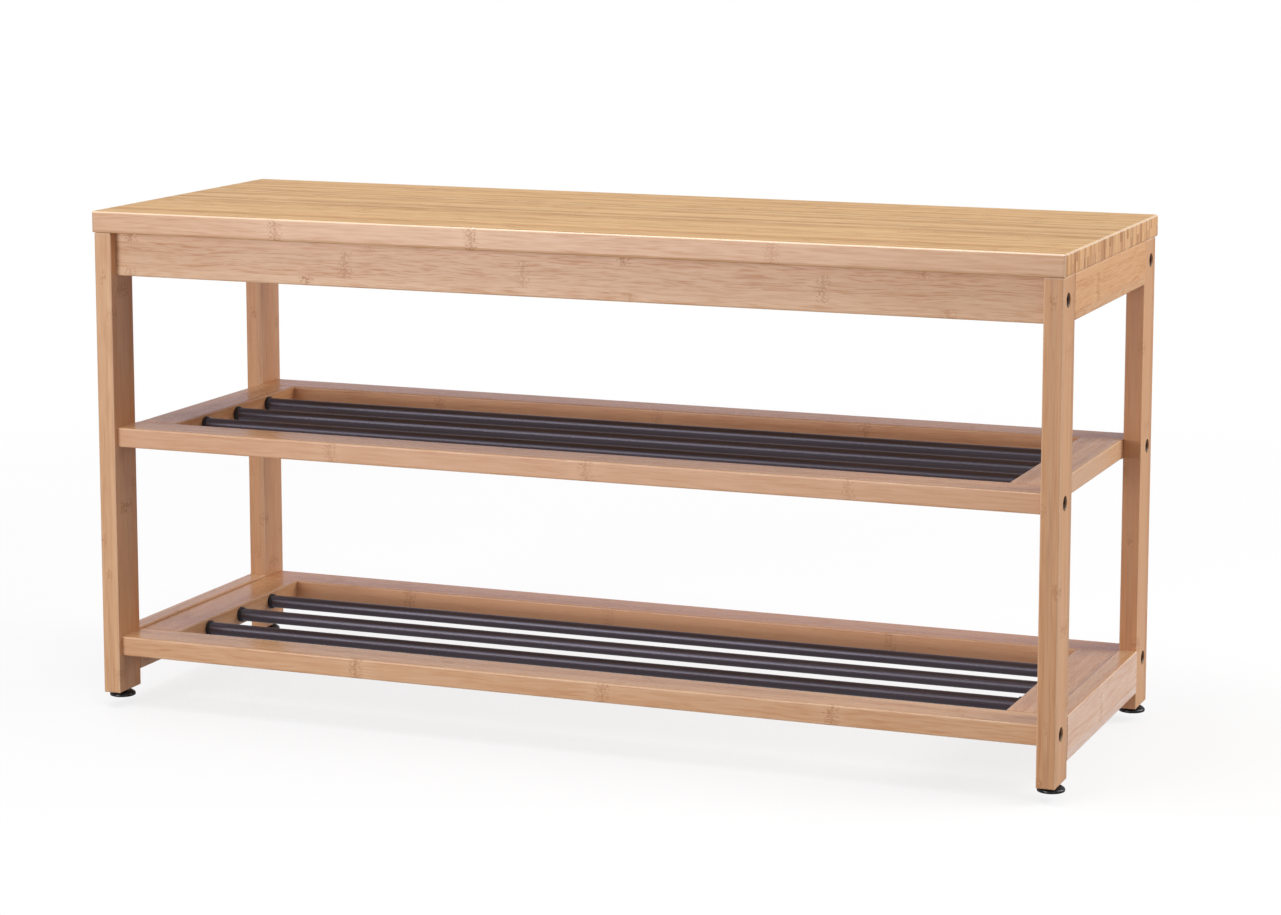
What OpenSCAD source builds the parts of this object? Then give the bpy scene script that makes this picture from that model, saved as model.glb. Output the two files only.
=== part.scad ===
// Entryway bench: a plank seat on a bamboo frame, with two slatted shoe shelves and four levelling feet.
// Millimetres, +Z up. X runs along the bench, the front faces -Y, and the origin is on the floor under
// the middle of the seat. Most sub-parts are drawn once, at the right rear, and mirrored to their place.

/* [Seat] */
// Length of the seat board
seat_length = 914.4; // [700:0.1:1200]
// Depth of the seat board, front to back
seat_depth = 330.2; // [300:0.1:420]
// Height of the seat's top face above the floor
seat_height = 457.2; // [420:0.1:520]
// Thickness of the seat board
seat_thickness = 20; // [18:1:28]
// How far the seat stands past the legs at each end
seat_overhang_end = 2; // [0:0.5:10]
// How far the seat stands past the legs at the front and the back
seat_overhang_front = 1; // [0:0.5:10]
// Radius of the seat's rounded edges
seat_edge_radius = 2.5; // [1:0.5:5]

/* [Legs] */
// Size of a leg along the bench
leg_width = 17; // [17:0.5:24]
// Size of a leg from front to back
leg_depth = 39; // [38:0.5:50]
// Radius of the eased edges of the legs and rails
edge_radius = 1.5; // [0.5:0.25:2]

/* [Aprons] */
// Height of the boards under the seat
apron_height = 40; // [38:1:60]
// Thickness of the front and rear aprons
apron_thickness = 15; // [14:0.5:20]
// How far the front apron stands back from the legs' front faces
apron_setback = 10; // [8:0.5:10]

/* [Shelves] */
// Height of the middle shelf's top face
middle_shelf_top = 256; // [200:1:320]
// Height of the lower shelf's top face
lower_shelf_top = 59; // [58:1:62]
// Thickness of the shelf rails
shelf_thickness = 18; // [17:0.5:20]
// Width of the shelf rails
shelf_rail_width = 39; // [36:0.5:45]
// How far the shelves stand back from the legs' front faces
shelf_setback = 6; // [4:0.5:7]
// Height of the rails that join the legs below the lower shelf's ends
side_rail_height = 40; // [38:1:42]
// Height of those rails' top edge above the lower shelf
side_rail_rise = 2; // [0:0.5:3]

/* [Rods] */
// Outer diameter of the steel shelf tubes
rod_diameter = 12; // [10:0.5:13]
// Wall thickness of the steel shelf tubes
rod_wall = 1; // [0.8:0.1:1.5]
// Spacing of the shelf tubes
rod_spacing = 63; // [50:1:70]
// Diameter of the collar at each end of a tube
collar_diameter = 14.5; // [14:0.5:16]
// Length of the collar at each end of a tube
collar_length = 3.5; // [2:0.5:5]

/* [Feet] */
// Gap between the legs' undersides and the floor with the feet screwed right in
foot_gap = 6; // [6:0.25:8]
// Diameter of a foot's pad
pad_diameter = 24; // [22:0.5:30]
// Nominal diameter of the feet's threaded studs
stud_diameter = 6; // [5:0.5:6]

/* [Bolts] */
// Distance of the frame bolts from the legs' front and rear faces
bolt_setback = 16.5; // [16:0.5:17]
// Diameter of the frame bolts
bolt_diameter = 6; // [5:0.5:6]
// Diameter of the recess over each bolt head
recess_diameter = 13; // [12.5:0.5:13]

/* [Hidden] */

// Sides of the bench, as multipliers of X and Y
left = -1;
right = 1;
front = -1;
rear = 1;
sides = [left, right];
ends = [front, rear];

// Colours
bamboo = "#d3a878";
bamboo_seat = "#dcb878";
dowel_wood = "#e3cfa8";
black_steel = "#352c2d";
black_plastic = "#1b1b1d";
zinc = "#b9bcc0";

// Smoothness of round shapes
$fn = 48;

// Radial gap round anything that sits in a drilled hole
fit_gap = 0.05;
// Space left beyond the end of a pin in a blind hole
end_gap = 0.5;
// How much wider than its shank a bolt's or screw's clearance hole is
shank_clearance = 0.5;
// Overrun that lets a cut pass cleanly through a face
past = 1;

// Frame lines: the legs' faces and the heights that everything is placed from
leg_outer_x = seat_length / 2 - seat_overhang_end;
leg_inner_x = leg_outer_x - leg_width;
leg_outer_y = seat_depth / 2 - seat_overhang_front;
leg_inner_y = leg_outer_y - leg_depth;
leg_centre_x = leg_outer_x - leg_width / 2;
leg_centre_y = leg_outer_y - leg_depth / 2;
leg_bottom = foot_gap;
leg_top = seat_height - seat_thickness;

apron_bottom = leg_top - apron_height;
apron_middle = leg_top - apron_height / 2;
apron_outer_y = leg_outer_y - apron_setback;
apron_centre_y = apron_outer_y - apron_thickness / 2;

shelf_outer_y = leg_outer_y - shelf_setback;
shelf_inner_y = shelf_outer_y - shelf_rail_width;
shelf_inner_x = leg_inner_x - shelf_rail_width;
middle_shelf_middle = middle_shelf_top - shelf_thickness / 2;
lower_shelf_middle = lower_shelf_top - shelf_thickness / 2;
side_rail_top = lower_shelf_top + side_rail_rise;
side_rail_bottom = side_rail_top - side_rail_height;
side_rail_middle = side_rail_top - side_rail_height / 2;

// Frame bolts: heads that nearly fill their recesses, threaded into inserts in the rails' end grain
bolt_y = leg_outer_y - bolt_setback;
bolt_levels = [apron_middle, middle_shelf_middle, lower_shelf_middle];
recess_depth = 6;
bolt_head_diameter = 12;
bolt_head_height = 5.2;
bolt_length = 35;
bolt_socket = 4.6;
bolt_socket_depth = 2.6;
insert_diameter = 9;
insert_length = 15;
bolt_hole_depth = recess_depth + bolt_length + end_gap - leg_width;

// Seat screws: driven up through the aprons from deep holes in their undersides
seat_screw_spacing = 290;
seat_screw_length = 37;
seat_screw_diameter = 4;
seat_screw_head = 8;
seat_screw_head_height = 3;
seat_screw_recess = 9;
seat_screw_recess_depth = 16;
seat_pilot_depth = seat_screw_recess_depth + seat_screw_length + end_gap - apron_height;

// Dowels: the same wooden pin in every glued joint
dowel_diameter = 8;
dowel_length = 30;
dowel_in_leg = 10;
dowel_in_leg_side = 14;
dowel_in_shelf = 15;
apron_dowel_spacing = 24;
side_dowel_spacing = 20;
shelf_dowel_spacing = 18;

// Rod caps: a plug in the tube, a collar against the rail and a peg in the rail
cap_plug_length = 12;
cap_peg_diameter = 8;
cap_peg_length = 10;
rod_bore = rod_diameter - 2 * rod_wall;
rod_length = 2 * (shelf_inner_x - collar_length);

// Feet: a stud that turns in the leg's insert and in the pad, which it carries up and down
foot_insert_length = 12;
stud_length_in_leg = 26;
stud_top = leg_bottom + stud_length_in_leg;
stud_flange_diameter = 10;
stud_flange_bottom = 1.6;
stud_flange_top = 3.1;
stud_hex = 10;
stud_hex_bottom = 4.7;
stud_hex_top = leg_bottom - 0.25;
stud_hole_depth = stud_length_in_leg + end_gap;
pad_top = 4.4;
pad_top_diameter = pad_diameter - 5;
pad_rim_radius = 1.6;
pad_foot_radius = 0.6;
pad_cavity_gap = 0.3;

// ---------------------------------------------------------------- shared shapes

// Moves what is drawn at the right rear to any corner
module at_corner(side, end) {
    mirror([side < 0 ? 1 : 0, 0, 0])
        mirror([0, end < 0 ? 1 : 0, 0])
            children();
}

// A rectangle with rounded corners, from its low corner
module rounded_rectangle(size, radius) {
    translate([radius, 0]) square([size.x - 2 * radius, size.y]);
    translate([0, radius]) square([size.x, size.y - 2 * radius]);
    for (x = [radius, size.x - radius], y = [radius, size.y - radius]) {
        translate([x, y]) circle(r = radius);
    }
}

// A board that runs along X, with its four long edges eased
module board_along_x(low, high, radius) {
    translate([high.x, low.y, low.z])
        rotate([0, -90, 0])
            linear_extrude(high.x - low.x)
                rounded_rectangle([high.z - low.z, high.y - low.y], radius);
}

// A board that runs along Y, with its four long edges eased
module board_along_y(low, high, radius) {
    translate([low.x, high.y, low.z])
        rotate([90, 0, 0])
            linear_extrude(high.y - low.y)
                rounded_rectangle([high.x - low.x, high.z - low.z], radius);
}

// A post that stands along Z, with its four long edges eased
module post(low, high, radius) {
    translate(low)
        linear_extrude(high.z - low.z)
            rounded_rectangle([high.x - low.x, high.y - low.y], radius);
}

// A board or post with all twelve edges eased
module eased_board(low, high, radius) {
    intersection() {
        board_along_x(low, high, radius);
        board_along_y(low, high, radius);
        post(low, high, radius);
    }
}

// Turns what is drawn along +Z so that it runs inwards from the right-hand end, along -X
module inwards_x(place) {
    translate(place) rotate([0, -90, 0]) children();
}

// Turns what is drawn along +Z so that it runs inwards from the rear, along -Y
module inwards_y(place) {
    translate(place) rotate([90, 0, 0]) children();
}

// A drilled hole or a pin, along +Z from a given depth to another
module drill(diameter, from, to) {
    translate([0, 0, from]) cylinder(d = diameter, h = to - from);
}

// ---------------------------------------------------------------- places of the fasteners

// The frame bolts of one corner, each along +Z from the leg's outer face
module at_bolts() {
    for (level = bolt_levels) {
        inwards_x([leg_outer_x, bolt_y, level]) children();
    }
}

// The dowels between one end of an apron and a leg, each along +Z from the leg's inner face
module at_apron_dowels() {
    for (step = [-0.5, 0.5]) {
        inwards_x([leg_inner_x, apron_centre_y, apron_middle + step * apron_dowel_spacing]) children();
    }
}

// The dowels between one end of a side board and a leg, each along +Z from the leg's inner face
module at_side_dowels(level) {
    for (step = [-0.5, 0.5]) {
        inwards_y([leg_centre_x, leg_inner_y, level + step * side_dowel_spacing]) children();
    }
}

// The dowels in one corner of a shelf frame, each along +Z from the long rail's inner face
module at_shelf_dowels(level) {
    for (step = [-0.5, 0.5]) {
        inwards_y([leg_inner_x - shelf_rail_width / 2 + step * shelf_dowel_spacing, shelf_inner_y, level])
            children();
    }
}

// The caps at one end of a shelf's rods, each along +Z from the end rail's inner face
module at_rod_ends(level) {
    for (row = [-1, 0, 1]) {
        inwards_x([shelf_inner_x, row * rod_spacing, level]) children();
    }
}

// The seat screws of the front or rear apron, each up from the apron's underside
module at_long_apron_screws(end) {
    for (column = [-1, 0, 1]) {
        translate([column * seat_screw_spacing, end * apron_centre_y, apron_bottom]) children();
    }
}

// The seat screw of one side apron
module at_side_apron_screw(side) {
    translate([side * leg_centre_x, 0, apron_bottom]) children();
}

// A foot's axis at the right rear, from the floor up
module at_foot() {
    translate([leg_centre_x, leg_centre_y, 0]) children();
}

// ---------------------------------------------------------------- cuts

// Hole for a dowel that reaches this far each way from the joint
module dowel_hole(before, after) {
    drill(dowel_diameter + 2 * fit_gap, -before, after);
}

// End-grain hole for an insert and the bolt's tip behind it
module insert_hole() {
    drill(insert_diameter + 2 * fit_gap, leg_width - past, leg_width + insert_length);
    drill(bolt_diameter + shank_clearance, leg_width, leg_width + bolt_hole_depth);
}

module seat_screw_hole() {
    drill(seat_screw_recess, -past, seat_screw_recess_depth);
    drill(seat_screw_diameter + shank_clearance, 0, apron_height + past);
}

// ---------------------------------------------------------------- boards

module seat() {
    color(bamboo_seat)
        difference() {
            eased_board(
                [-seat_length / 2, -seat_depth / 2, leg_top],
                [seat_length / 2, seat_depth / 2, seat_height],
                seat_edge_radius
            );
            for (end = ends) at_long_apron_screws(end) seat_pilot();
            for (side = sides) at_side_apron_screw(side) seat_pilot();
        }
}

module seat_pilot() {
    drill(seat_screw_diameter + 2 * fit_gap, apron_height - past, apron_height + seat_pilot_depth);
}

module leg(side, end) {
    color(bamboo)
        at_corner(side, end)
            difference() {
                eased_board(
                    [leg_inner_x, leg_inner_y, leg_bottom],
                    [leg_outer_x, leg_outer_y, leg_top],
                    edge_radius
                );
                at_bolts() {
                    drill(recess_diameter, -past, recess_depth);
                    drill(bolt_diameter + shank_clearance, 0, leg_width + past);
                }
                at_apron_dowels() dowel_hole(dowel_in_leg + end_gap, past);
                for (level = [apron_middle, side_rail_middle]) {
                    at_side_dowels(level) dowel_hole(dowel_in_leg_side + end_gap, past);
                }
                at_foot() {
                    drill(insert_diameter + 2 * fit_gap, leg_bottom - past, leg_bottom + foot_insert_length);
                    drill(stud_diameter + shank_clearance, leg_bottom, leg_bottom + stud_hole_depth);
                }
            }
}

module apron_long(end) {
    color(bamboo)
        difference() {
            at_corner(right, end)
                board_along_x(
                    [-leg_inner_x, apron_outer_y - apron_thickness, apron_bottom],
                    [leg_inner_x, apron_outer_y, leg_top],
                    edge_radius
                );
            for (side = sides) {
                at_corner(side, end) {
                    inwards_x([leg_outer_x, bolt_y, apron_middle]) insert_hole();
                    at_apron_dowels() dowel_hole(past, dowel_length - dowel_in_leg + end_gap);
                }
            }
            at_long_apron_screws(end) seat_screw_hole();
        }
}

// A board between the front and rear legs of one end, as thick as the legs are wide
module side_board(side, low_z, high_z) {
    at_corner(side, rear)
        difference() {
            board_along_y(
                [leg_inner_x, -leg_inner_y, low_z],
                [leg_outer_x, leg_inner_y, high_z],
                edge_radius
            );
            for (end = ends) {
                at_corner(right, end)
                    at_side_dowels((low_z + high_z) / 2)
                        dowel_hole(past, dowel_length - dowel_in_leg_side + end_gap);
            }
        }
}

module apron_side(side) {
    color(bamboo)
        difference() {
            side_board(side, apron_bottom, leg_top);
            at_side_apron_screw(side) seat_screw_hole();
        }
}

module side_rail(side) {
    color(bamboo) side_board(side, side_rail_bottom, side_rail_top);
}

module shelf_rail_long(end, middle) {
    color(bamboo)
        difference() {
            at_corner(right, end)
                board_along_x(
                    [-leg_inner_x, shelf_inner_y, middle - shelf_thickness / 2],
                    [leg_inner_x, shelf_outer_y, middle + shelf_thickness / 2],
                    edge_radius
                );
            for (side = sides) {
                at_corner(side, end) {
                    inwards_x([leg_outer_x, bolt_y, middle]) insert_hole();
                    at_shelf_dowels(middle) dowel_hole(dowel_in_shelf + end_gap, past);
                }
            }
        }
}

module shelf_rail_end(side, middle) {
    color(bamboo)
        at_corner(side, rear)
            difference() {
                board_along_y(
                    [shelf_inner_x, -shelf_inner_y, middle - shelf_thickness / 2],
                    [leg_inner_x, shelf_inner_y, middle + shelf_thickness / 2],
                    edge_radius
                );
                for (end = ends) {
                    at_corner(right, end)
                        at_shelf_dowels(middle)
                            dowel_hole(past, dowel_length - dowel_in_shelf + end_gap);
                }
                at_rod_ends(middle)
                    drill(cap_peg_diameter + 2 * fit_gap, -cap_peg_length - end_gap, past);
            }
}

// ---------------------------------------------------------------- rods and their caps

// row is -1, 0 or 1: front, centre or rear
module rod(row, middle) {
    color(black_steel)
        inwards_x([rod_length / 2, row * rod_spacing, middle])
            difference() {
                drill(rod_diameter, 0, rod_length);
                drill(rod_bore, -past, rod_length + past);
            }
}

module rod_caps(middle) {
    color(black_plastic)
        for (side = sides) {
            at_corner(side, rear)
                at_rod_ends(middle) {
                    drill(cap_peg_diameter, -cap_peg_length, 0);
                    drill(collar_diameter, 0, collar_length);
                    drill(rod_bore - 2 * fit_gap, collar_length, collar_length + cap_plug_length);
                }
        }
}

// ---------------------------------------------------------------- fasteners

module frame_bolts() {
    color(black_steel)
        for (side = sides, end = ends) {
            at_corner(side, end)
                at_bolts()
                    difference() {
                        union() {
                            drill(bolt_head_diameter, recess_depth - bolt_head_height, recess_depth);
                            drill(bolt_diameter, recess_depth, recess_depth + bolt_length);
                        }
                        translate([0, 0, recess_depth - bolt_head_height - past])
                            cylinder(d = bolt_socket, h = bolt_socket_depth + past, $fn = 6);
                    }
        }
}

module rail_inserts() {
    color(zinc)
        for (side = sides, end = ends) {
            at_corner(side, end)
                at_bolts()
                    difference() {
                        drill(insert_diameter, leg_width, leg_width + insert_length);
                        drill(bolt_diameter + 2 * fit_gap, leg_width - past, leg_width + insert_length + past);
                    }
        }
}

module seat_screw() {
    drill(seat_screw_head, seat_screw_recess_depth - seat_screw_head_height, seat_screw_recess_depth);
    drill(seat_screw_diameter, seat_screw_recess_depth, seat_screw_recess_depth + seat_screw_length);
}

module seat_screws() {
    color(zinc) {
        for (end = ends) at_long_apron_screws(end) seat_screw();
        for (side = sides) at_side_apron_screw(side) seat_screw();
    }
}

// A dowel that reaches this far back from the joint
module dowel(before) {
    drill(dowel_diameter, -before, dowel_length - before);
}

module apron_dowels() {
    color(dowel_wood)
        for (side = sides, end = ends) at_corner(side, end) at_apron_dowels() dowel(dowel_in_leg);
}

module side_dowels(level) {
    color(dowel_wood)
        for (side = sides, end = ends) at_corner(side, end) at_side_dowels(level) dowel(dowel_in_leg_side);
}

module shelf_dowels(level) {
    color(dowel_wood)
        for (side = sides, end = ends) at_corner(side, end) at_shelf_dowels(level) dowel(dowel_in_shelf);
}

// ---------------------------------------------------------------- feet

module foot_inserts() {
    color(zinc)
        for (side = sides, end = ends) {
            at_corner(side, end)
                at_foot()
                    difference() {
                        drill(insert_diameter, leg_bottom, leg_bottom + foot_insert_length);
                        drill(stud_diameter + 2 * fit_gap, leg_bottom - past, stud_top);
                    }
        }
}

// Outline of the pad: flat underside, rounded rim, sloping shoulder
module pad_outline() {
    radius = pad_diameter / 2;
    square([radius - pad_foot_radius, pad_rim_radius]);
    translate([radius - pad_foot_radius, pad_foot_radius]) circle(r = pad_foot_radius);
    translate([0, pad_foot_radius]) square([radius, pad_rim_radius - pad_foot_radius]);
    translate([radius - pad_rim_radius, pad_rim_radius]) circle(r = pad_rim_radius);
    square([radius - pad_rim_radius, 2 * pad_rim_radius]);
    polygon([
        [0, pad_rim_radius],
        [radius - pad_rim_radius, 2 * pad_rim_radius],
        [pad_top_diameter / 2, pad_top],
        [0, pad_top],
    ]);
}

module foot_pad(side, end) {
    color(black_plastic)
        at_corner(side, end)
            at_foot()
                difference() {
                    rotate_extrude() intersection() {
                        pad_outline();
                        square([pad_diameter, pad_top]);
                    }
                    drill(
                        stud_flange_diameter + 2 * pad_cavity_gap,
                        stud_flange_bottom - pad_cavity_gap,
                        stud_flange_top + pad_cavity_gap
                    );
                    drill(stud_diameter + 2 * fit_gap, stud_flange_top, pad_top + past);
                }
}

module foot_stud(side, end) {
    color(zinc)
        at_corner(side, end)
            at_foot() {
                drill(stud_flange_diameter, stud_flange_bottom, stud_flange_top);
                drill(stud_diameter, stud_flange_top, stud_top);
                translate([0, 0, stud_hex_bottom])
                    cylinder(d = stud_hex, h = stud_hex_top - stud_hex_bottom, $fn = 6);
            }
}

// ---------------------------------------------------------------- assembly

seat();

leg(left, front);  // leg_front_left
leg(right, front);  // leg_front_right
leg(left, rear);  // leg_rear_left
leg(right, rear);  // leg_rear_right

apron_long(front);  // apron_front
apron_long(rear);  // apron_rear
apron_side(left);  // apron_left
apron_side(right);  // apron_right

shelf_rail_long(front, middle_shelf_middle);  // middle_shelf_rail_front
shelf_rail_long(rear, middle_shelf_middle);  // middle_shelf_rail_rear
shelf_rail_end(left, middle_shelf_middle);  // middle_shelf_rail_left
shelf_rail_end(right, middle_shelf_middle);  // middle_shelf_rail_right
shelf_rail_long(front, lower_shelf_middle);  // lower_shelf_rail_front
shelf_rail_long(rear, lower_shelf_middle);  // lower_shelf_rail_rear
shelf_rail_end(left, lower_shelf_middle);  // lower_shelf_rail_left
shelf_rail_end(right, lower_shelf_middle);  // lower_shelf_rail_right

side_rail(left);  // side_rail_left
side_rail(right);  // side_rail_right

rod(-1, middle_shelf_middle);  // middle_rod_front
rod(0, middle_shelf_middle);  // middle_rod_centre
rod(1, middle_shelf_middle);  // middle_rod_rear
rod(-1, lower_shelf_middle);  // lower_rod_front
rod(0, lower_shelf_middle);  // lower_rod_centre
rod(1, lower_shelf_middle);  // lower_rod_rear
rod_caps(middle_shelf_middle);  // middle_rod_caps
rod_caps(lower_shelf_middle);  // lower_rod_caps

frame_bolts();
rail_inserts();
seat_screws();
apron_dowels();
side_dowels(apron_middle);  // side_apron_dowels
side_dowels(side_rail_middle);  // side_rail_dowels
shelf_dowels(middle_shelf_middle);  // middle_shelf_dowels
shelf_dowels(lower_shelf_middle);  // lower_shelf_dowels

foot_inserts();
foot_pad(left, front);  // foot_pad_front_left
foot_pad(right, front);  // foot_pad_front_right
foot_pad(left, rear);  // foot_pad_rear_left
foot_pad(right, rear);  // foot_pad_rear_right
foot_stud(left, front);  // foot_stud_front_left
foot_stud(right, front);  // foot_stud_front_right
foot_stud(left, rear);  // foot_stud_rear_left
foot_stud(right, rear);  // foot_stud_rear_right
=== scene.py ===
import math
import bmesh
import bpy
from mathutils import Matrix, Vector

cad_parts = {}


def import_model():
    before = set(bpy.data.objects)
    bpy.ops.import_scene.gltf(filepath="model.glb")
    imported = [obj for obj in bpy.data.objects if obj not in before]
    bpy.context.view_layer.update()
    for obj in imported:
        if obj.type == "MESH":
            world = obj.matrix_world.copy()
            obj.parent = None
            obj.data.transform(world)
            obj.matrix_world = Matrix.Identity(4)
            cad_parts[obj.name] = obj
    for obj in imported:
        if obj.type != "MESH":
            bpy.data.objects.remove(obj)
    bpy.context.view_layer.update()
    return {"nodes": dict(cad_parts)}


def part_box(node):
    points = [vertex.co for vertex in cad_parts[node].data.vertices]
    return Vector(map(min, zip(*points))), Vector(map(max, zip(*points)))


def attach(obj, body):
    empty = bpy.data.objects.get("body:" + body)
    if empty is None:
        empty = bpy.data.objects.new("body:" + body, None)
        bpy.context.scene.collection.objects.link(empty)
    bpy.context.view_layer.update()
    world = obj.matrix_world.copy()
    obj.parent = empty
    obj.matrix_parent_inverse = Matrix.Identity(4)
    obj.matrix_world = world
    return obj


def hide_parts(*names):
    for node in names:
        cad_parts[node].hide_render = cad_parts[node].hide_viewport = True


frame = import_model()

MM = 0.001
X, Y, Z = 0, 1, 2
BOTH_ENDS = (-1, 1)
LEVELS = ("middle", "lower")
ROWS = ("front", "centre", "rear")
CORNERS = ("front_left", "front_right", "rear_left", "rear_right")

# ---------------------------------------------------------------- camera: metres, degrees, millimetres of lens
CAMERA_PLACE = (1.146, -2.8486, 0.7843)
CAMERA_YAW = 21.604
CAMERA_DOWN = 8.055
CAMERA_LENS = 95.3
CAMERA_SENSOR = 36.0
CAMERA_SHIFT_Y = -0.10
CAMERA_REACH = 100.0

# ---------------------------------------------------------------- hardware, in millimetres, as in the CAD
BOLT_SETBACK = 16.5              # from the legs' front and rear faces
BOLT_SEAT_DEPTH = 6              # from the legs' outer side faces
BOLT_HEAD_DIAMETER = 12
BOLT_HEAD_HEIGHT = 5.2
BOLT_SOCKET = 4.6                # across corners
BOLT_SOCKET_DEPTH = 2.6
BOLT_LENGTH = 35
BOLT_PLAIN_LENGTH = 13           # of the shank, under the head
M6_CREST = 2.98                  # radius, a hair inside the CAD's plain shank
M6_TIP = 2.3                     # radius
M6_PITCH = 1.0
SCREW_COLUMN = 290               # from the bench's middle to the outer seat screws
SCREW_HEAD_HEIGHT = 3.0
SCREW_CREST = 1.98
SCREW_PITCH = 1.8
SCREW_THREAD_START = 16.0
SCREW_LENGTH = 40.0              # with its head
COLLAR_DIAMETER = 14.5
COLLAR_LENGTH = 3.5
PEG_DIAMETER = 8
PEG_LENGTH = 10
PLUG_DIAMETER = 9.9
PLUG_LENGTH = 12
STUD_TOP = 32.0                  # above the floor

# Radius and height of the foot pad's outline, from its sole over the rim into the socket for the flange
PAD_OUTLINE = (
    (10.6, 0.0), (11.4, 0.0), (11.82, 0.18), (12.0, 0.6),
    (12.0, 1.7), (11.85, 2.25), (11.5, 2.75), (11.0, 3.15),
    (10.7, 3.25), (10.45, 3.42),
    (10.0, 3.85), (9.5, 4.15), (8.6, 4.34), (7.4, 4.4),
    (4.2, 4.4), (3.35, 4.3), (3.05, 4.0), (3.05, 3.4),
    (5.3, 3.4), (5.3, 1.3),
)
# The same for the stud's flange, up to the shank, and then the hexagon's size across corners and height
FLANGE_OUTLINE = ((4.7, 1.6), (5.0, 1.85), (5.0, 2.85), (4.7, 3.1), (M6_CREST, 3.1))
HEXAGON_OUTLINE = ((8.9, 4.7), (9.9, 4.86), (9.9, 5.6), (8.9, 5.75))

# How finely round pieces are divided, and the angle above which an edge stays sharp
SMALL_SEGMENTS = 48
PAD_SEGMENTS = 72
RIBBED_SEGMENTS = 120
SHARP_ANGLE = 34


# ================================================================ node graphs

class Graph:
    """Short ways to write a material's nodes. Inputs are numbers, tuples or other nodes' sockets."""

    def __init__(self, name):
        self.material = bpy.data.materials.new(name)
        self.material.use_nodes = True
        self.tree = self.material.node_tree
        self.shader = self.tree.nodes["Principled BSDF"]

    def put(self, socket, value):
        if isinstance(value, bpy.types.NodeSocket):
            self.tree.links.new(value, socket)
        else:
            socket.default_value = value

    def node(self, kind, output=0, inputs=(), **settings):
        n = self.tree.nodes.new(kind)
        for key, value in settings.items():
            setattr(n, key, value)
        for key, value in inputs:
            self.put(n.inputs[key], value)
        return n.outputs[output]

    def math(self, operation, a, b=0.0):
        return self.node("ShaderNodeMath", inputs=((0, a), (1, b)), operation=operation)

    def add(self, a, b):
        return self.math("ADD", a, b)

    def sub(self, a, b):
        return self.math("SUBTRACT", a, b)

    def mul(self, a, b):
        return self.math("MULTIPLY", a, b)

    def clamp(self, value):
        return self.node("ShaderNodeClamp", 0, ((0, value),))

    def vector(self, x, y, z):
        return self.node("ShaderNodeCombineXYZ", inputs=((0, x), (1, y), (2, z)))

    def vmath(self, operation, a, b=(0, 0, 0), output=0):
        return self.node("ShaderNodeVectorMath", output, ((0, a), (1, b)), operation=operation)

    def split(self, vector):
        n = self.tree.nodes.new("ShaderNodeSeparateXYZ")
        self.put(n.inputs[0], vector)
        return list(n.outputs)

    def position(self):
        return self.node("ShaderNodeTexCoord", "Object")

    def normal(self):
        return self.node("ShaderNodeTexCoord", "Normal")

    def noise(self, vector, scale=1.0, detail=2.0, roughness=0.5):
        return self.node("ShaderNodeTexNoise", 0, (
            ("Vector", vector), ("Scale", scale), ("Detail", detail), ("Roughness", roughness)))

    def random(self, vector):
        """Three random numbers from 0 to 1 for a cell."""
        return self.split(self.node("ShaderNodeTexWhiteNoise", "Color", (("Vector", vector),)))

    def ramp(self, value, low, high, to_low=0.0, to_high=1.0, smooth=True):
        return self.node("ShaderNodeMapRange", 0, (
            (0, value), (1, low), (2, high), (3, to_low), (4, to_high)),
            interpolation_type="SMOOTHSTEP" if smooth else "LINEAR")

    def mix(self, factor, a, b, blend="MIX"):
        n = self.tree.nodes.new("ShaderNodeMix")
        n.data_type = "RGBA"
        n.blend_type = blend
        for key, value in ((0, factor), (6, a), (7, b)):
            if isinstance(value, (tuple, list)) and len(value) == 3:
                value = (*value, 1.0)
            self.put(n.inputs[key], value)
        return n.outputs[2]

    def mix_value(self, factor, a, b):
        return self.node("ShaderNodeMix", 0, ((0, factor), (2, a), (3, b)), data_type="FLOAT")

    def bump(self, height, strength, distance):
        bump = self.node("ShaderNodeBump", 0, (
            ("Strength", strength), ("Distance", distance), ("Height", height)))
        self.put(self.shader.inputs["Normal"], bump)

    def finish(self, color, roughness, **constants):
        self.put(self.shader.inputs["Base Color"], color)
        self.put(self.shader.inputs["Roughness"], roughness)
        for key, value in constants.items():
            self.shader.inputs[key.replace("_", " ")].default_value = value
        return self.material


# ================================================================ bamboo

# Colours of the cane's broad face, of its edge and of its cut end: the pale ground and the darker fibres
SEAT_LOOK = {
    "face": ((0.70, 0.475, 0.31), (0.55, 0.31, 0.165)),
    "edge": ((0.75, 0.48, 0.215), (0.40, 0.19, 0.055)),
    "end": ((0.68, 0.39, 0.175), (0.36, 0.135, 0.036)),
}
FRAME_LOOK = {
    "face": ((0.68, 0.42, 0.25), (0.49, 0.22, 0.092)),
    "edge": ((0.66, 0.39, 0.20), (0.48, 0.225, 0.09)),
    "end": ((0.62, 0.36, 0.18), (0.36, 0.16, 0.06)),
}
# Paler, pinker colours for the right side rail, with the pale sheen of the lights at its right painted into them
PAINTED_SHEEN_LOOK = {
    "face": ((0.87, 0.67, 0.54), (0.62, 0.35, 0.22)),
    "edge": ((0.72, 0.45, 0.25), (0.56, 0.29, 0.13)),
    "end": FRAME_LOOK["end"],
}
NODE_COLOUR = (0.35, 0.14, 0.045)
GLUE_COLOUR = (0.86, 0.66, 0.46)
# colour of the pale highlight painted on the rounded arrises
ARRIS_HIGHLIGHT_COLOUR = (0.92, 0.76, 0.58)
WARM_TINT = (1.03, 0.985, 0.93)
COOL_TINT = (0.97, 1.0, 1.05)
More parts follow.
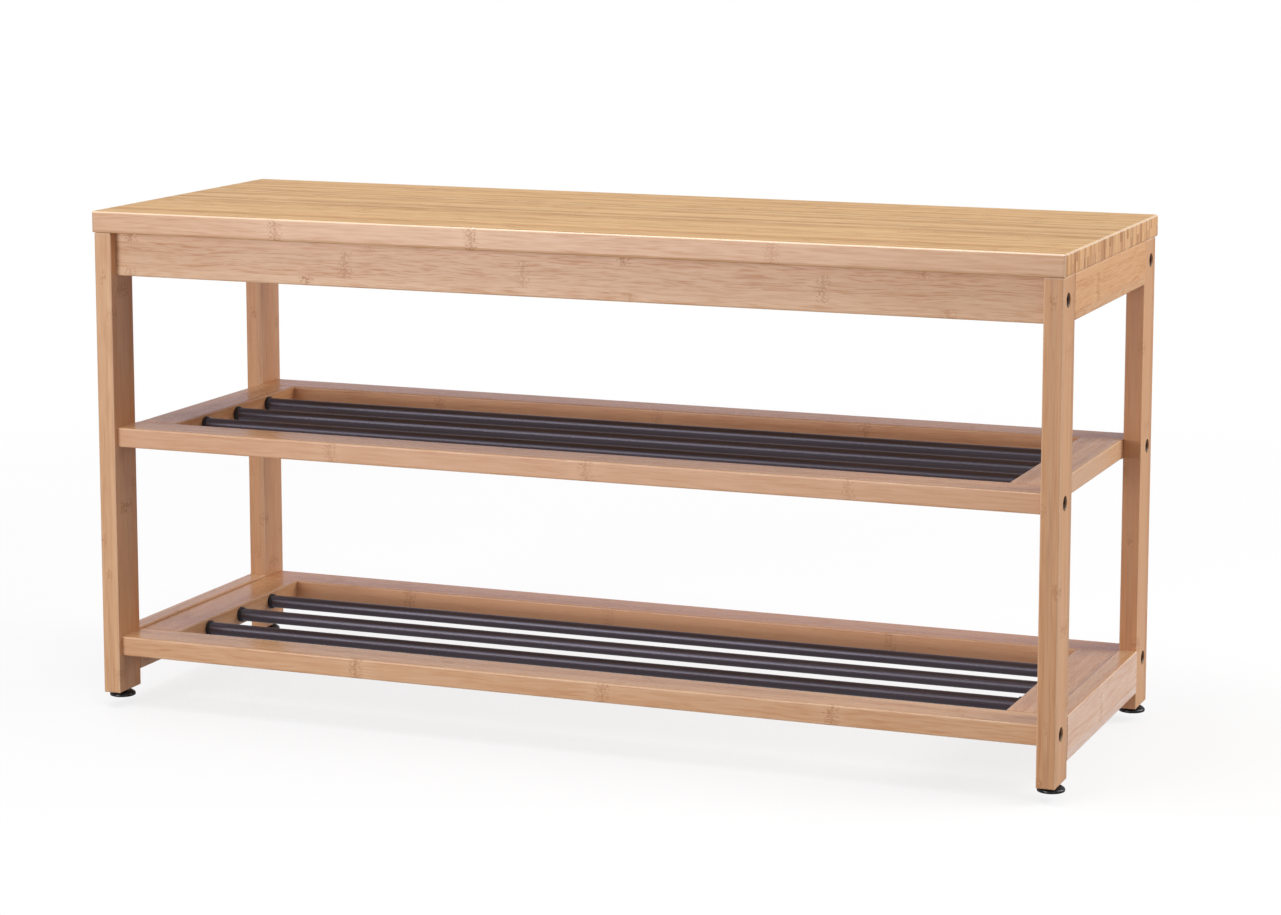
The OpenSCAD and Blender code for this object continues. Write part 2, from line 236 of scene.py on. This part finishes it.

# The grain of each kind of board: how far the fibres sway and how long the fine ones look, in millimetres, how
# dark these and the broader streaks are, the varnish's roughness, and how strong the pale highlight painted on the
# arrises is
SEAT_GRAIN = dict(sway=3.0, fine_length=26.0, fine_depth=0.46, streak_depth=0.34, varnish=0.40, paleness=0.68)
APRON_GRAIN = dict(sway=10.0, fine_length=19.0, fine_depth=0.56, streak_depth=0.24, varnish=0.42, paleness=0.30)
SHELF_GRAIN = dict(sway=6.0, fine_length=26.0, fine_depth=0.42, streak_depth=0.26, varnish=0.27, paleness=0.20)
LEG_GRAIN = dict(sway=2.5, fine_length=46.0, fine_depth=0.34, streak_depth=0.26, varnish=0.40, paleness=0.60)

# How strongly each cane's own tone shows on the boards' edges, broad faces and cut ends
EDGE_TONE, FACE_TONE, END_TONE = 0.66, 0.42, 1.15

NODE_SPACING = 0.27              # metres between the nodes of one cane
NODE_WAVER = 8.0                 # millimetres that a node's ring wavers along the cane
HAIRLINE = (0.05, 0.35)          # millimetres from a joint over which its line fades out
GLUE_LINE = (0.2, 0.7)           # the same for the pale lines of glue in the cut ends
ARRIS_ROUGHNESS = 0.20


def bamboo(name, low, grain, strip_axis, layer_axis, strips, layers, look, figure, seed):
    """Laminated bamboo for one board. The canes run along grain. Each is strips wide and layers thick, given as
    (size, shift) in millimetres from the board's low corner, and has its own tone, fibres and nodes."""
    g = Graph(name)
    local = g.vmath("SUBTRACT", g.position(), tuple(low))
    axes = g.split(local)
    along, wide, thick = axes[grain], axes[strip_axis], axes[layer_axis]
    facing = [g.math("ABSOLUTE", n) for n in g.split(g.normal())]
    flattest = g.math("MAXIMUM", g.math("MAXIMUM", facing[0], facing[1]), facing[2])
    arris = g.ramp(flattest, 0.80, 0.985, 1.0, 0.0)
    on_face = g.ramp(facing[layer_axis], 0.6, 0.8)
    on_end = g.ramp(facing[grain], 0.6, 0.8)
    strip_size, strip_shift = strips[0] * MM, strips[1] * MM
    layer_size, layer_shift = layers[0] * MM, layers[1] * MM

    # which cane this point is in, and a shift of its own for that cane's patterns
    layer_at = g.math("DIVIDE", g.add(thick, layer_shift), layer_size)
    layer = g.math("FLOOR", layer_at)
    strip_at = g.add(g.math("DIVIDE", g.add(wide, strip_shift), strip_size), g.mul(layer, 0.5))
    strip = g.math("FLOOR", strip_at)
    cane = g.random(g.vector(g.add(layer, 0.5), g.add(strip, 0.5), seed + 0.5))
    own = g.vmath("MULTIPLY", g.vector(*cane), (37.0, 53.0, 71.0))
    tone = g.sub(cane[0], 0.5)

    # fibres: short fine dashes, broader streaks and a slow drift, which stop at each cane's edge
    def fibres(length, width, depth, detail, across):
        at = g.vector(g.math("DIVIDE", along, length * MM), g.math("DIVIDE", across, width * MM),
                      g.math("DIVIDE", thick, depth * MM))
        return g.noise(g.vmath("ADD", at, own), detail=detail, roughness=0.6)

    sway = g.mul(g.sub(fibres(85, 26, 60, 1.0, wide), 0.5), figure["sway"] * MM)
    wavy = g.add(wide, sway)
    fine = fibres(figure["fine_length"], 0.95, 1.1, 1.5, wavy)
    streak = fibres(60, 2.8, layers[0] * 0.9, 1.5, wavy)
    drift = fibres(260, 15, 15, 1.0, wide)
    lines = g.mul(g.ramp(fine, 0.45, 0.66), g.ramp(drift, 0.25, 0.60, 0.50, 1.0))
    streaks = g.ramp(streak, 0.40, 0.66)
    dark = g.add(g.mul(lines, figure["fine_depth"]), g.mul(streaks, figure["streak_depth"]))
    dark = g.add(dark, g.mul(g.sub(drift, 0.5), 0.40))

    # nodes: a ring across the cane in a band of dark flecks, with paler wood beside it
    turn = g.add(g.math("DIVIDE", along, NODE_SPACING), g.mul(cane[2], 9.7))
    number = g.math("FLOOR", turn)
    joint = g.random(g.vector(g.add(number, 0.5), g.add(g.mul(strip, 3.0), layer), seed + 7.5))
    centre = g.add(0.25, g.mul(joint[0], 0.5))
    away = g.mul(g.sub(g.sub(turn, number), centre), NODE_SPACING)

    def blot(along_scale, across_scale):
        scales = tuple(along_scale if i == grain else across_scale for i in range(3))
        return g.noise(g.vmath("ADD", g.vmath("MULTIPLY", local, scales), own), detail=1.5)

    away = g.add(away, g.mul(g.sub(blot(0.0, 210.0), 0.5), NODE_WAVER * MM))
    distance = g.math("ABSOLUTE", away)
    ring = g.ramp(distance, 0.3 * MM, 2.0 * MM, 1.0, 0.0)
    band = g.ramp(distance, 4.0 * MM, 9.0 * MM, 1.0, 0.0)
    flecks = g.mul(g.ramp(blot(430.0, 780.0), 0.49, 0.60), band)
    strength = g.add(g.mix_value(on_face, 0.25, 0.40), g.mul(joint[1], 0.6))
    mark = g.mul(g.math("MAXIMUM", g.mul(ring, 0.50), g.mul(flecks, 0.74)), strength)
    mark = g.mul(mark, g.sub(1.0, on_end))
    pale = g.mul(g.mul(g.ramp(distance, 3.0 * MM, 26.0 * MM, 1.0, 0.0), strength), 0.18)

    # the cut end: each cane is pale inside and darker towards its skin, with bundles of fibre as fine lines
    depth = g.math("FRACT", layer_at)
    depth = g.mix_value(g.math("GREATER_THAN", cane[1], 0.55), depth, g.sub(1.0, depth))
    bundle_at = g.vector(g.math("DIVIDE", wide, 26.0 * MM), g.math("DIVIDE", thick, 2.4 * MM), 0.0)
    bundles = g.noise(g.vmath("ADD", bundle_at, own), detail=2.0)
    pores = g.node("ShaderNodeTexVoronoi", 0, (("Vector", local), ("Scale", 1300.0)))
    end_dark = g.add(g.mul(g.math("POWER", depth, 1.6), 0.42), g.mul(g.ramp(bundles, 0.42, 0.62), 0.20))
    end_dark = g.add(end_dark, g.mul(g.ramp(pores, 0.08, 0.30, 1.0, 0.0), 0.08))
    end_dark = g.add(end_dark, g.mul(tone, END_TONE))

    # hairline joints between canes, and lines of glue in the cut end
    def seam(at, size, fade):
        part = g.math("FRACT", at)
        edge = g.mul(g.math("MINIMUM", part, g.sub(1.0, part)), size)
        return g.ramp(edge, fade[0] * MM, fade[1] * MM, 1.0, 0.0)

    seams = g.math("MAXIMUM", seam(strip_at, strip_size, HAIRLINE), seam(layer_at, layer_size, HAIRLINE))
    glue = g.mul(seam(layer_at, layer_size, GLUE_LINE), g.math("GREATER_THAN", cane[2], 0.50))

    dark = g.clamp(g.sub(g.add(dark, g.mul(tone, g.mix_value(on_face, EDGE_TONE, FACE_TONE))), pale))
    face = g.mix(dark, *look["face"])
    edge = g.mix(dark, *look["edge"])
    end = g.mix(g.clamp(end_dark), *look["end"])
    end = g.mix(g.mul(glue, 0.75), end, GLUE_COLOUR)
    color = g.mix(on_end, g.mix(on_face, edge, face), end)
    color = g.mix(1.0, color, g.mix(cane[1], WARM_TINT, COOL_TINT), "MULTIPLY")
    color = g.mix(mark, color, NODE_COLOUR)
    color = g.mix(g.mul(seams, g.mul(g.sub(1.0, on_end), 0.16)), color, NODE_COLOUR)

    # the rounded arrises are rubbed smoother than the faces, and carry a pale painted highlight, stronger the more
    # they face up
    arris_highlight = g.ramp(g.split(g.normal())[Z], -0.5, 0.6, 0.0, figure["paleness"], smooth=False)
    color = g.mix(g.mul(arris, arris_highlight), color, ARRIS_HIGHLIGHT_COLOUR)
    rough = g.add(figure["varnish"], g.add(g.mul(lines, 0.08), g.mul(mark, 0.15)))
    rough = g.mix_value(arris, rough, ARRIS_ROUGHNESS)
    height = g.sub(g.sub(1.0, g.mul(lines, 0.5)), g.add(g.mul(seams, 0.9), g.mul(mark, 0.8)))
    g.bump(height, 0.10, 0.12 * MM)
    return g.finish(color, rough, Specular_IOR_Level=0.40, Coat_Weight=0.08, Coat_Roughness=0.15)


# ================================================================ metals and plastics

def powder_coat():
    g = Graph("dark_powder_coat")
    at = g.position()
    peel = g.noise(at, scale=900.0, detail=2.0)
    grit = g.noise(at, scale=3200.0, detail=1.0)
    paleness = g.noise(g.vmath("MULTIPLY", at, (6.0, 90.0, 90.0)), detail=3.0)
    color = g.mix(g.ramp(paleness, 0.35, 0.75), (0.038, 0.024, 0.022), (0.054, 0.038, 0.040))
    rough = g.add(0.30, g.mul(peel, 0.12))
    g.bump(g.add(g.mul(peel, 0.7), g.mul(grit, 0.3)), 0.10, 0.05 * MM)
    return g.finish(color, rough, IOR=1.55, Specular_IOR_Level=0.92, Specular_Tint=(0.86, 0.82, 1.0, 1.0))


def plastic(name, pale, deep, rough, grain_scale, grain_strength, **constants):
    """Moulded plastic or a dull black finish, with a fine grain. rough is its least and its most roughness."""
    g = Graph(name)
    at = g.position()
    grain = g.noise(at, scale=grain_scale, detail=2.0)
    flow = g.noise(at, scale=120.0, detail=2.0)
    g.bump(grain, grain_strength, 0.04 * MM)
    return g.finish(g.mix(flow, deep, pale), g.ramp(flow, 0.3, 0.7, *rough), **constants)


def metal(name, pale, deep, rough, scratches):
    """Metal with the fine rings or grain that machining or casting leaves. scratches is how often they repeat
    along each axis."""
    g = Graph(name)
    at = g.position()
    cloud = g.noise(at, scale=260.0, detail=3.0)
    scratch = g.noise(g.vmath("MULTIPLY", at, scratches), detail=2.0)
    g.bump(scratch, 0.12, 0.03 * MM)
    return g.finish(g.mix(cloud, deep, pale), g.ramp(scratch, 0.3, 0.7, *rough), Metallic=1.0)


def hardwood():
    g = Graph("beech_dowel")
    at = g.position()
    grain = g.noise(g.vmath("MULTIPLY", at, (160.0, 160.0, 900.0)), detail=3.0)
    flecks = g.noise(at, scale=1500.0, detail=1.0)
    color = g.mix(g.ramp(grain, 0.3, 0.7), (0.66, 0.47, 0.28), (0.46, 0.28, 0.14))
    color = g.mix(g.mul(g.ramp(flecks, 0.60, 0.70), 0.5), color, (0.28, 0.14, 0.06))
    g.bump(grain, 0.2, 0.05 * MM)
    return g.finish(color, g.add(0.55, g.mul(grain, 0.2)))


# ================================================================ shapes

# An outline gives a radius at each angle. A ring is an outline and its height, in millimetres.

def circle(radius):
    return lambda angle: radius


def hexagon(across_corners):
    flat = across_corners / 2 * math.cos(math.pi / 6)
    return lambda angle: flat / math.cos((angle % (math.pi / 3)) - math.pi / 6)


def cross(length, width):
    """The outline of a plus-shaped recess."""
    def radius(angle):
        c, s = abs(math.cos(angle)) + 1e-9, abs(math.sin(angle)) + 1e-9
        return max(min(length / c, width / s), min(width / c, length / s))
    return radius


def ribbed(radius, depth, count):
    return lambda angle: radius - depth * (0.5 + 0.5 * math.cos(count * angle))


def turned(*outline):
    """Round rings from (radius, height) pairs."""
    return [(circle(radius), height) for radius, height in outline]


def thread(radius, depth, start, end, pitch, steps=6, run_out=1.5):
    """Rings of a threaded shank from one height to the other, fading out at both ends."""
    count = round((end - start) / pitch * steps)
    rings = []
    for i in range(count + 1):
        height = start + (end - start) * i / count
        fade = min(1.0, (height - start) / run_out, (end - height) / run_out)

        def ring(angle, height=height, fade=fade):
            phase = (height / pitch - angle / (2 * math.pi)) % 1.0
            return radius - depth * (abs(2 * phase - 1) * fade)
        rings.append((ring, height))
    return rings


def loft(bm, rings, segments, place):
    """Adds a closed solid whose surface runs through the rings about +Z. place puts it in the row frame."""
    loops = []
    for radius, height in rings:
        loop = []
        for i in range(segments):
            angle = 2 * math.pi * i / segments
            r = radius(angle)
            at = Vector((r * math.cos(angle), r * math.sin(angle), height)) * MM
            loop.append(bm.verts.new(place @ at))
        loops.append(loop)
    for low, high in zip(loops, loops[1:]):
        for i in range(segments):
            j = (i + 1) % segments
            bm.faces.new((low[i], low[j], high[j], high[i]))
    for loop, height, order in ((loops[0], rings[0][1], -1), (loops[-1], rings[-1][1], 1)):
        middle = bm.verts.new(place @ Vector((0, 0, height * MM)))
        for i in range(segments):
            j = (i + 1) % segments
            bm.faces.new((loop[i], loop[j], middle)[::order])


def piece(name, material, build, body, slot, *nodes):
    """A mesh made by build(bm) that rides on a body and stands for CAD nodes."""
    bm = bmesh.new()
    build(bm)
    bmesh.ops.recalc_face_normals(bm, faces=bm.faces)
    mesh = bpy.data.meshes.new(name)
    bm.to_mesh(mesh)
    bm.free()
    mesh.shade_smooth()
    mesh.set_sharp_from_angle(angle=math.radians(SHARP_ANGLE))
    mesh.materials.append(material)
    obj = bpy.data.objects.new(name, mesh)
    bpy.context.scene.collection.objects.link(obj)
    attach(obj, body)
    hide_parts(*nodes)


def inwards(x, y, z):
    """Turns what is drawn along +Z so that it runs from that point towards the bench's middle, along X."""
    return Matrix.Translation((x, y, z)) @ Matrix.Rotation(math.radians(-90 if x > 0 else 90), 4, "Y")


def middle_of(node):
    low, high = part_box(node)
    return (low + high) / 2


# ================================================================ finishes on the CAD parts

def paint(node, material):
    data = frame["nodes"][node].data
    data.materials.clear()
    data.materials.append(material)


# Painted light and shade, as factors on the colours of one side of a board or of all its sides: darker for
# boards in shade, warmer for faces lit by light bounced off the wood, paler for boards in brighter light
PAINTED_LIGHT_TONES = {
    "apron_front": {"all": (1.08, 1.12, 1.10)},
    "apron_right": {"all": (1.06, 1.03, 0.90)},
    "leg_front_left": {"face": (1.00, 0.86, 0.72)},
    "leg_front_right": {"all": (0.88, 0.82, 0.78), "face": (0.96, 0.93, 0.85)},
    "leg_rear_left": {"all": (0.83, 0.74, 0.68), "face": (1.00, 0.92, 0.85)},
    "leg_rear_right": {"all": (0.83, 0.68, 0.60), "face": (0.97, 0.88, 0.74)},
    "middle_shelf_rail_left": {"all": (1.00, 0.92, 0.82)},
    "middle_shelf_rail_rear": {"all": (1.02, 0.91, 0.82)},
    "lower_shelf_rail_front": {"all": (1.06, 1.09, 1.04)},
    "lower_shelf_rail_left": {"all": (0.98, 0.89, 0.78)},
    "lower_shelf_rail_rear": {"all": (1.06, 0.93, 0.84)},
}


def toned(look, node):
    tones = PAINTED_LIGHT_TONES.get(node, {})
    result = {}
    for side, colors in look.items():
        tone = tones.get(side, tones.get("all", (1, 1, 1)))
        result[side] = [[c * t for c, t in zip(color, tone)] for color in colors]
    return result


# Boards cut and laminated alike: their nodes, the axes of the grain, of the strips' width and of the layers,
# the strips and the layers as (size, shift) in millimetres, their look and grain, and the first one's seed
BOARDS = [
    (("seat",), X, Z, Y, (20.5, 0.2), (6.35, 0.0), SEAT_LOOK, SEAT_GRAIN, 3),
    (("apron_front", "apron_rear"), X, Z, Y, (24, 16), (5, 0), FRAME_LOOK, APRON_GRAIN, 11),
    (("apron_left", "apron_right"), Y, Z, X, (24, 16), (5.7, 0), FRAME_LOOK, APRON_GRAIN, 23),
    (("side_rail_left",), Y, Z, X, (24, 16), (5.7, 0), FRAME_LOOK, SHELF_GRAIN, 31),
    # the right side rail takes the colours with the painted pale sheen
    (("side_rail_right",), Y, Z, X, (24, 16), (5.7, 0), PAINTED_SHEEN_LOOK, SHELF_GRAIN, 32),
    (["leg_" + corner for corner in CORNERS], Z, Y, X, (20, 11), (5.7, 0), FRAME_LOOK, LEG_GRAIN, 41),
]
for level, long_seed, end_seed in (("middle", 53, 61), ("lower", 55, 63)):
    rail = level + "_shelf_rail_"
    BOARDS += [
        ((rail + "front", rail + "rear"), X, Z, Y, (18.5, 0.2), (5.6, 0), FRAME_LOOK, SHELF_GRAIN, long_seed),
        ((rail + "left", rail + "right"), Y, Z, X, (18.5, 0.2), (5.6, 0), FRAME_LOOK, SHELF_GRAIN, end_seed),
    ]
for nodes, grain, strip_axis, layer_axis, strips, layers, look, figure, seed in BOARDS:
    for number, node in enumerate(nodes):
        paint(node, bamboo("bamboo_" + node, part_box(node)[0], grain, strip_axis, layer_axis, strips, layers,
                           toned(look, node), figure, seed + number))

TURNED = (300.0, 300.0, 2400.0)
CAST = (700.0, 700.0, 700.0)
coat = powder_coat()
cap_black = plastic("cap_black", pale=(0.020, 0.019, 0.021), deep=(0.010, 0.010, 0.011), rough=(0.34, 0.46),
                    grain_scale=2600.0, grain_strength=0.15)
foot_black = plastic("foot_black", pale=(0.012, 0.012, 0.014), deep=(0.006, 0.006, 0.007), rough=(0.20, 0.30),
                     grain_scale=500.0, grain_strength=0.03)
black_plate = metal("black_plate", pale=(0.045, 0.045, 0.050), deep=(0.025, 0.025, 0.028), rough=(0.22, 0.40),
                    scratches=TURNED)
black_oxide = plastic("black_oxide", pale=(0.040, 0.022, 0.015), deep=(0.016, 0.009, 0.007), rough=(0.48, 0.64),
                      grain_scale=900.0, grain_strength=0.10, Specular_IOR_Level=0.10)
zinc = metal("cast_zinc", pale=(0.60, 0.61, 0.63), deep=(0.42, 0.43, 0.45), rough=(0.30, 0.50), scratches=CAST)
plated = metal("bright_plate", pale=(0.66, 0.67, 0.69), deep=(0.50, 0.51, 0.54), rough=(0.16, 0.32),
               scratches=TURNED)
beech = hardwood()

for level in LEVELS:
    for row in ROWS:
        paint(f"{level}_rod_{row}", coat)
for node in ("rail_inserts", "foot_inserts"):
    paint(node, zinc)
for node in ("apron_dowels", "side_apron_dowels", "side_rail_dowels", "middle_shelf_dowels", "lower_shelf_dowels"):
    paint(node, beech)


# ================================================================ rod caps

def rod_cap(bm, place):
    """A peg in the rail, a ribbed collar against it and a plug in the tube."""
    peg, collar, plug = PEG_DIAMETER / 2, COLLAR_DIAMETER / 2, PLUG_DIAMETER / 2
    ribs = ribbed(collar, 0.22, 30)
    end, tip = COLLAR_LENGTH, COLLAR_LENGTH + PLUG_LENGTH
    rings = turned((peg - 0.8, -PEG_LENGTH), (peg, -PEG_LENGTH + 0.8), (peg, 0))
    rings += turned((collar - 0.45, 0), (collar - 0.12, 0.12), (collar, 0.45))
    rings += [(ribs, 0.6), (ribs, end - 1.15)]
    rings += turned((collar, end - 1.0), (collar - 0.15, end - 0.6), (collar - 0.55, end - 0.15))
    rings += turned((collar - 0.95, end), (plug, end), (plug, tip - 1), (plug - 0.8, tip))
    loft(bm, rings, RIBBED_SEGMENTS, place)


for level in LEVELS:
    def caps(bm, level=level):
        for row in ROWS:
            centre = middle_of(f"{level}_rod_{row}")
            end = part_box(f"{level}_rod_{row}")[1].x + COLLAR_LENGTH * MM
            for side in BOTH_ENDS:
                rod_cap(bm, inwards(side * end, centre.y, centre.z))
    piece(f"{level}_rod_cap_set", cap_black, caps, "bench", "cap_plastic", f"{level}_rod_caps")


# ================================================================ frame bolts and seat screws

def bolt(bm, place):
    """A socket head with eased rims on a threaded shank, from the head's outer face at +Z 0."""
    r, h = BOLT_HEAD_DIAMETER / 2, BOLT_HEAD_HEIGHT
    rings = [(circle(0.8), BOLT_SOCKET_DEPTH), (hexagon(BOLT_SOCKET), BOLT_SOCKET_DEPTH - 0.3),
             (hexagon(BOLT_SOCKET), 0.35), (hexagon(BOLT_SOCKET + 0.7), 0.05)]
    rings += turned((r - 1.9, 0.0), (r - 0.9, 0.12), (r - 0.3, 0.45), (r, 1.0), (r, h - 0.25), (r - 0.25, h))
    rings += turned((3.2, h), (M6_CREST, h + 0.4))
    rings += thread(M6_CREST, 0.45, h + BOLT_PLAIN_LENGTH, h + BOLT_LENGTH - 1.5, M6_PITCH, steps=5)
    rings += turned((M6_TIP, h + BOLT_LENGTH))
    loft(bm, rings, SMALL_SEGMENTS, place)


def all_bolts(bm):
    leg_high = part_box("leg_rear_right")[1]
    x = leg_high.x - (BOLT_SEAT_DEPTH - BOLT_HEAD_HEIGHT) * MM
    y = leg_high.y - BOLT_SETBACK * MM
    for node in ("apron_front", "middle_shelf_rail_front", "lower_shelf_rail_front"):
        for side in BOTH_ENDS:
            for end in BOTH_ENDS:
                bolt(bm, inwards(side * x, end * y, middle_of(node).z))


piece("frame_bolt_set", black_oxide, all_bolts, "bench", "bolt_black", "frame_bolts")


def seat_screw(bm, place):
    """A pan head with a cross recess on a coarse thread, from the head's underside up."""
    rings = [(circle(0.4), 1.6), (cross(1.0, 0.35), 1.5), (cross(2.1, 0.55), 0.15), (cross(2.3, 0.7), 0.02)]
    rings += turned((2.6, 0.0), (3.3, 0.35), (3.8, 1.0), (3.98, 1.8), (3.98, 2.85))
    rings += turned((3.9, SCREW_HEAD_HEIGHT), (SCREW_CREST, SCREW_HEAD_HEIGHT))
    rings += thread(SCREW_CREST, 0.5, SCREW_THREAD_START, SCREW_LENGTH - 2.0, SCREW_PITCH)
    rings += turned((0.3, SCREW_LENGTH))
    loft(bm, rings, SMALL_SEGMENTS, place)


def all_seat_screws(bm):
    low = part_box("seat_screws")[0]
    apron = middle_of("apron_rear")
    side = middle_of("apron_right")
    for end in BOTH_ENDS:
        for column in (-SCREW_COLUMN, 0, SCREW_COLUMN):
            seat_screw(bm, Matrix.Translation((column * MM, end * apron.y, low.z)))
        seat_screw(bm, Matrix.Translation((end * side.x, 0.0, low.z)))


piece("seat_screw_set", plated, all_seat_screws, "bench", "plated_steel", "seat_screws")


# ================================================================ levelling feet

def foot_pad(bm, place):
    """A domed disc with a rounded rim and a socket that holds the stud's flange."""
    loft(bm, turned(*PAD_OUTLINE), PAD_SEGMENTS, place)


def foot_stud(bm, place):
    """A flange that turns in the pad, a hexagon for a spanner and the threaded stud."""
    hexagon_bottom, hexagon_top = HEXAGON_OUTLINE[0][1], HEXAGON_OUTLINE[-1][1]
    rings = turned(*FLANGE_OUTLINE, (M6_CREST, hexagon_bottom))
    rings += [(hexagon(size), height) for size, height in HEXAGON_OUTLINE]
    rings += thread(M6_CREST, 0.5, hexagon_top + 0.01, STUD_TOP - 0.8, M6_PITCH, run_out=0.8)
    rings += turned((M6_TIP, STUD_TOP))
    loft(bm, rings, SMALL_SEGMENTS, place)


for corner in CORNERS:
    centre = middle_of("foot_pad_" + corner)
    place = Matrix.Translation((centre.x, centre.y, 0.0))
    piece("pad_" + corner, foot_black, lambda bm: foot_pad(bm, place), "pad_" + corner,
          "foot_plastic", "foot_pad_" + corner)
    piece("stud_" + corner, black_plate, lambda bm: foot_stud(bm, place), "stud_" + corner,
          "plated_steel", "foot_stud_" + corner)


# ================================================================ floor, light and camera

FLOOR_RADIUS = 2.0
FLOOR_FADE = (0.6, 1.9)          # from the middle, where it begins to thin out and where nothing is left
FLOOR_DENSITY = 0.22
FLOOR_DROP = 0.0085


def floor():
    """A pale floor that thins out to nothing well away from the bench, so that it has no edge. It lies just
    below the pads at their lowest setting, because the feet go down there and the bench doesn't rise."""
    bm = bmesh.new()
    bmesh.ops.create_circle(bm, cap_ends=True, segments=96, radius=FLOOR_RADIUS)
    mesh = bpy.data.meshes.new("floor")
    bm.to_mesh(mesh)
    bm.free()
    g = Graph("pale_floor")
    reach = g.vmath("LENGTH", g.position(), output=1)
    g.finish((0.95, 0.95, 0.95, 1.0), 0.9, Specular_IOR_Level=0.0)
    clear = g.node("ShaderNodeBsdfTransparent")
    blend = g.node("ShaderNodeMixShader", 0, (
        (0, g.ramp(reach, *FLOOR_FADE, FLOOR_DENSITY, 0.0)), (1, clear), (2, g.shader.outputs[0])))
    g.put(g.tree.nodes["Material Output"].inputs["Surface"], blend)
    mesh.materials.append(g.material)
    obj = bpy.data.objects.new("floor", mesh)
    obj.location.z = -FLOOR_DROP
    bpy.context.scene.collection.objects.link(obj)


def softbox(name, place, target, size, power, color):
    light = bpy.data.lights.new(name, "AREA")
    light.shape = "RECTANGLE"
    light.size, light.size_y = size
    light.energy = power
    light.color = color
    obj = bpy.data.objects.new(name, light)
    obj.location = place
    obj.rotation_mode = "QUATERNION"
    obj.rotation_quaternion = (Vector(target) - Vector(place)).to_track_quat("-Z", "Y")
    obj.visible_camera = False
    bpy.context.scene.collection.objects.link(obj)


def world(seen, cast, cast_color):
    """White where the camera looks past the floor, and a weaker, slightly cool fill on everything else."""
    w = bpy.data.worlds.new("studio")
    bpy.context.scene.world = w
    w.use_nodes = True
    tree = w.node_tree
    fill = tree.nodes["Background"]
    fill.inputs["Color"].default_value = (*cast_color, 1.0)
    fill.inputs["Strength"].default_value = cast
    white = tree.nodes.new("ShaderNodeBackground")
    white.inputs["Strength"].default_value = seen
    white.inputs["Color"].default_value = (1.0, 1.0, 1.0, 1.0)
    path = tree.nodes.new("ShaderNodeLightPath")
    mix = tree.nodes.new("ShaderNodeMixShader")
    tree.links.new(path.outputs["Is Camera Ray"], mix.inputs[0])
    tree.links.new(fill.outputs[0], mix.inputs[1])
    tree.links.new(white.outputs[0], mix.inputs[2])
    tree.links.new(mix.outputs[0], tree.nodes["World Output"].inputs["Surface"])


def camera():
    data = bpy.data.cameras.new("camera")
    data.lens = CAMERA_LENS
    data.sensor_width = CAMERA_SENSOR
    data.shift_y = CAMERA_SHIFT_Y
    data.clip_end = CAMERA_REACH
    obj = bpy.data.objects.new("camera", data)
    obj.location = CAMERA_PLACE
    obj.rotation_euler = (math.radians(90 - CAMERA_DOWN), 0.0, math.radians(CAMERA_YAW))
    bpy.context.scene.collection.objects.link(obj)
    bpy.context.scene.camera = obj


floor()
world(seen=1.0, cast=0.33, cast_color=(0.92, 0.91, 1.0))
softbox("front_left_softbox", place=(-1.5, -3.1, 1.3), target=(0, 0, 0.3), size=(1.8, 1.7),
        power=30.0, color=(0.98, 0.98, 1.0))
softbox("low_softbox", place=(-1.2, -3.0, 0.32), target=(0, 0, 0.3), size=(1.1, 0.5),
        power=32.0, color=(0.98, 0.96, 1.0))
softbox("front_right_softbox", place=(2.2, -2.6, 1.2), target=(0, 0, 0.3), size=(1.2, 1.2),
        power=4.0, color=(1.0, 1.0, 1.0))
softbox("back_right_softbox", place=(2.8, 1.4, 1.4), target=(0, 0, 0.2), size=(1.6, 1.4),
        power=46.0, color=(1.0, 0.98, 0.94))
softbox("right_softbox", place=(2.5, 0.2, 1.7), target=(0, 0, 0.3), size=(1.2, 1.2),
        power=26.0, color=(1.0, 0.98, 0.92))
softbox("top_softbox", place=(-0.35, -0.36, 2.06), target=(-0.1, -0.1, 0.45), size=(1.8, 0.5),
        power=22.0, color=(1.0, 0.98, 0.97))
softbox("back_softbox", place=(-0.45, 1.15, 0.31), target=(0, 0, 0.2), size=(1.9, 0.42),
        power=1.1, color=(0.95, 0.82, 1.0))
camera()
bpy.context.scene.view_settings.view_transform = "Standard"
